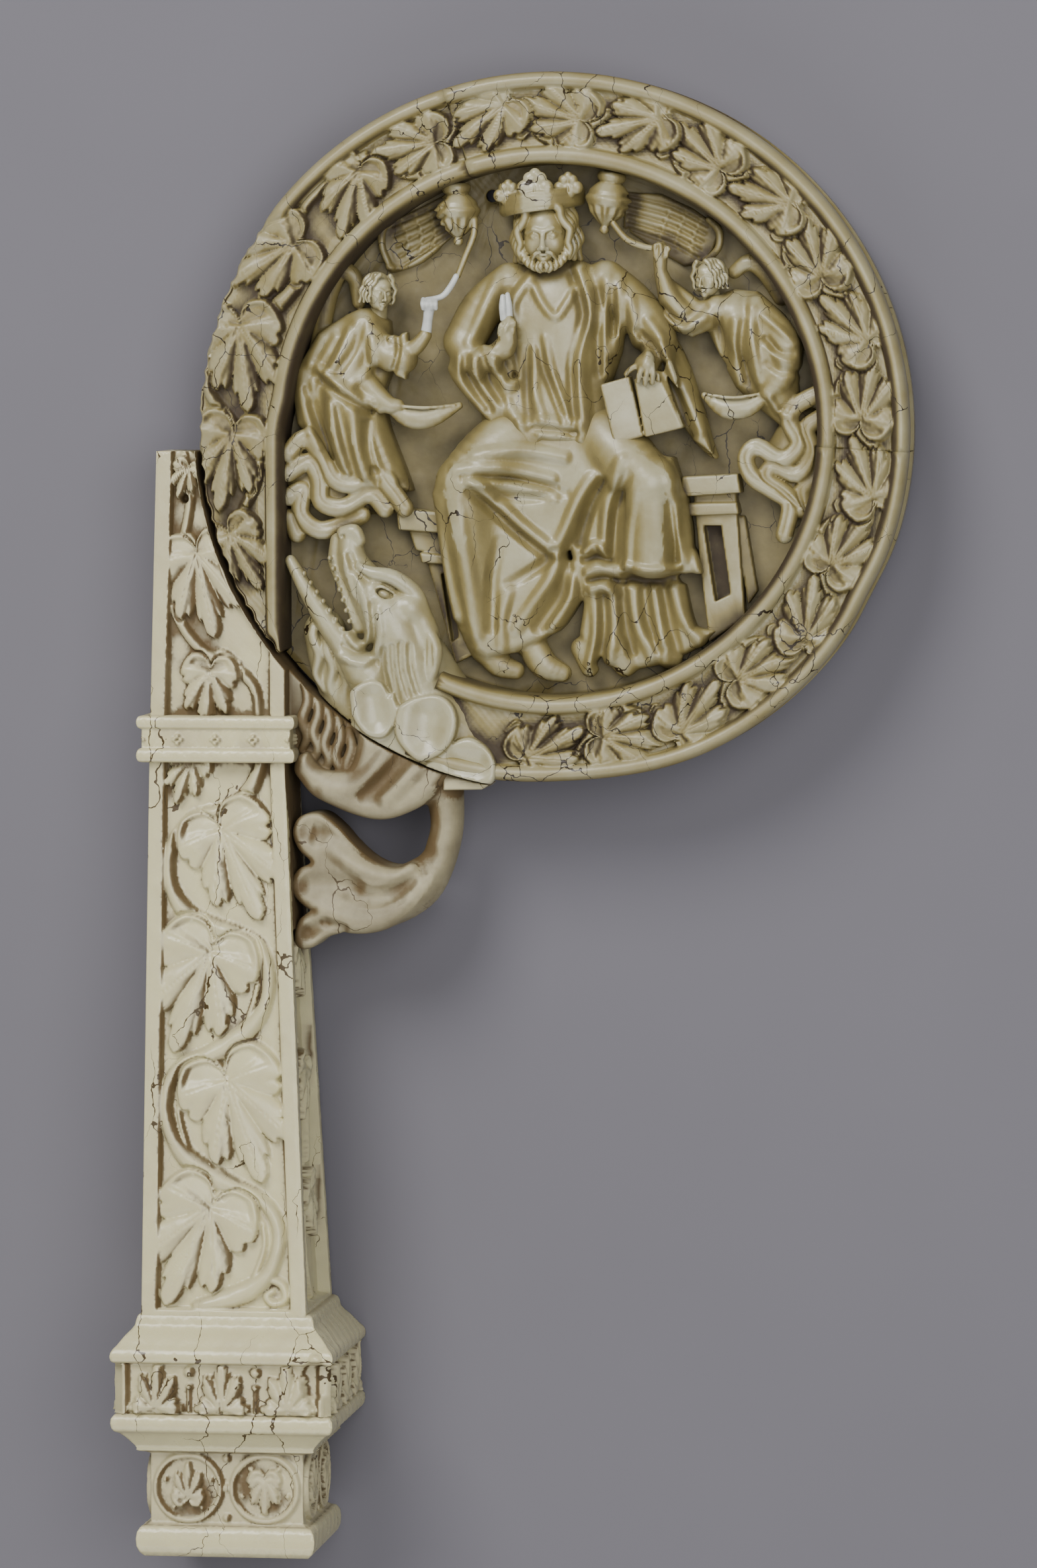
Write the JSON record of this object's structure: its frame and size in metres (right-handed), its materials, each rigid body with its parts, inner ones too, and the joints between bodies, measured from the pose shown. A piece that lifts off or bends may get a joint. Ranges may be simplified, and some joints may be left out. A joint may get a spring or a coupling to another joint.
{
  "type": "crosier head",
  "caption": "Carved ivory crosier head: a round volute with a seated figure and vine border, on a tapering shaft with collar and moulded base.",
  "frame": {"origin": "centre of the foot's flat underside, where the head seats on its staff", "axes": "+Y runs up the shaft from foot to volute, +Z comes out of the carved front face, +X points from the shaft towards the volute's side"},
  "size_m": [0.1487, 0.279, 0.0425],
  "materials": {
    "volute_ivory": "polished old ivory, warm yellow grey, brown in the recesses",
    "shaft_ivory": "polished paler cream ivory with fine dark age cracks",
    "sliver_ivory": "pale ivory insert, satin",
    "repair_wax": "white wax, slightly translucent"
  },
  "bodies": {
    "root": {"volute": "volute_ivory", "shaft": "shaft_ivory", "repair_sliver": "sliver_ivory", "wax_fingers": "repair_wax", "wax_forearm": "repair_wax"}
  },
  "joints": []
}
